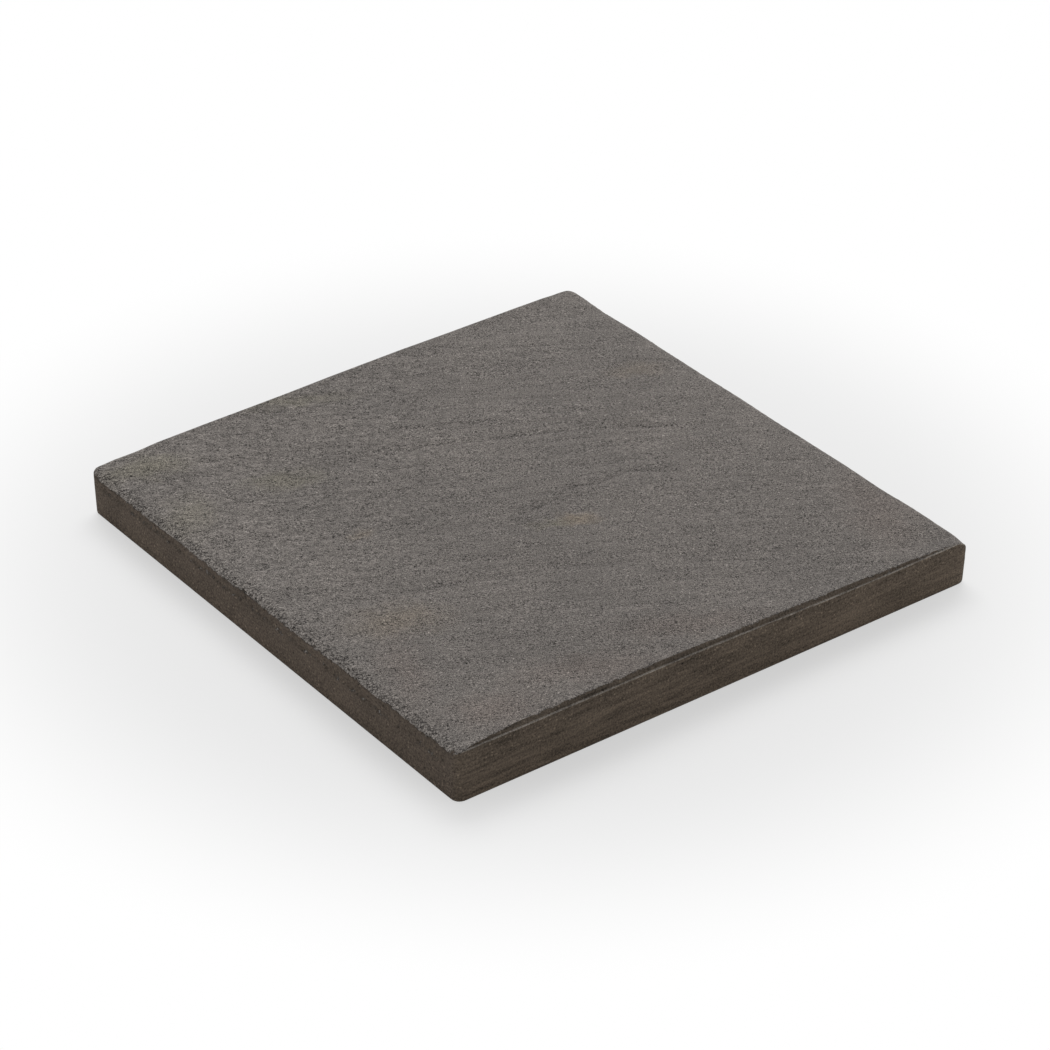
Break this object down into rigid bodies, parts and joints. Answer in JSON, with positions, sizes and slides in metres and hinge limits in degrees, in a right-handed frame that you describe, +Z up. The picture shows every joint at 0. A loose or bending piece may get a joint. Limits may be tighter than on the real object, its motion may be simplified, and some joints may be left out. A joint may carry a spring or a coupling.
{
  "type": "concrete paving slab",
  "caption": "Square pressed concrete paving slab with a gently riven walking face, worn side arrises, a stepped shoulder on two edges and a flat bed.",
  "frame": {"origin": "centre of the flat bed face, bottom centre of the slab", "axes": "+Z up out of the riven face, through the thickness; X and Y along the square sides, with the shouldered edges at the front (-Y) and back (+Y)"},
  "size_m": [0.4497, 0.4501, 0.0447],
  "materials": {
    "cast_concrete": "dark warm grey pressed concrete, sandy riven face and smoother mould-faced sides"
  },
  "bodies": {
    "root": {"paving_slab": "cast_concrete"}
  },
  "joints": []
}
